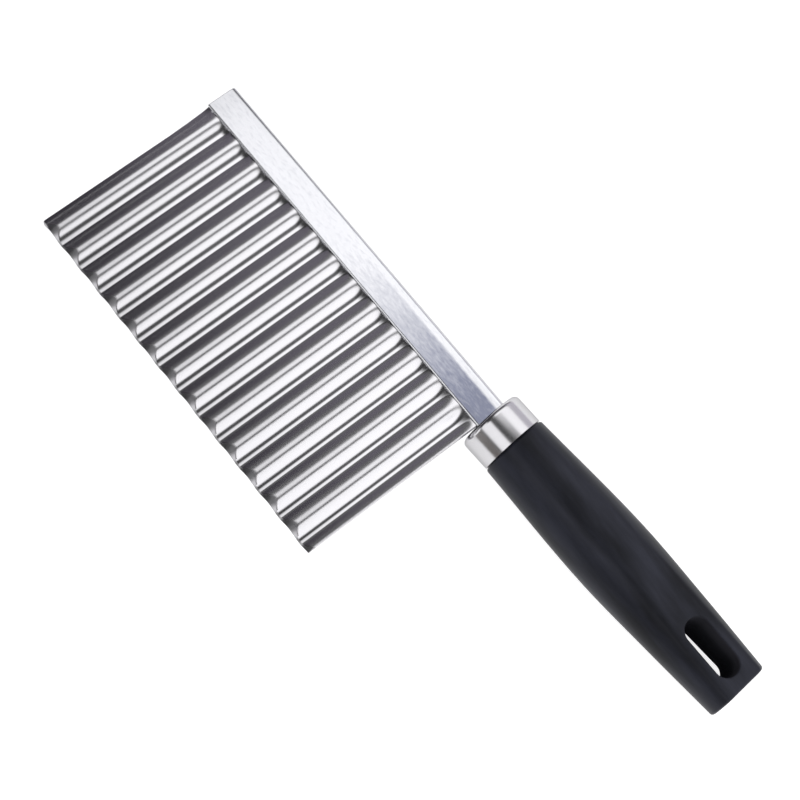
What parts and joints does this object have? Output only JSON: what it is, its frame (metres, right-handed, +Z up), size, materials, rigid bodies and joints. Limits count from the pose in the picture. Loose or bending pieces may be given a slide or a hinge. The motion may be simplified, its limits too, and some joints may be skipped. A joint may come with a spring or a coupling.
{
  "type": "crinkle cutter",
  "caption": "Hand tool with a corrugated steel blade, its back edge in a folded strip that runs through a ferrule into a plastic handle with a hanging slot.",
  "frame": {"origin": "middle of the resting tool's box, on the table it lies on", "axes": "+X along the tool from the blade's tip to the handle's butt, +Y from the cutting edge to the back, +Z up from the table"},
  "size_m": [0.2408, 0.0854, 0.0245],
  "materials": {
    "blade_steel": "polished stainless sheet",
    "strip_steel": "satin stainless strip",
    "ferrule_steel": "mirror polished",
    "handle_plastic": "fine satin moulding"
  },
  "bodies": {
    "root": {"corrugated_blade": "blade_steel", "back_strip": "strip_steel", "ferrule": "ferrule_steel", "handle": "handle_plastic"}
  },
  "joints": []
}
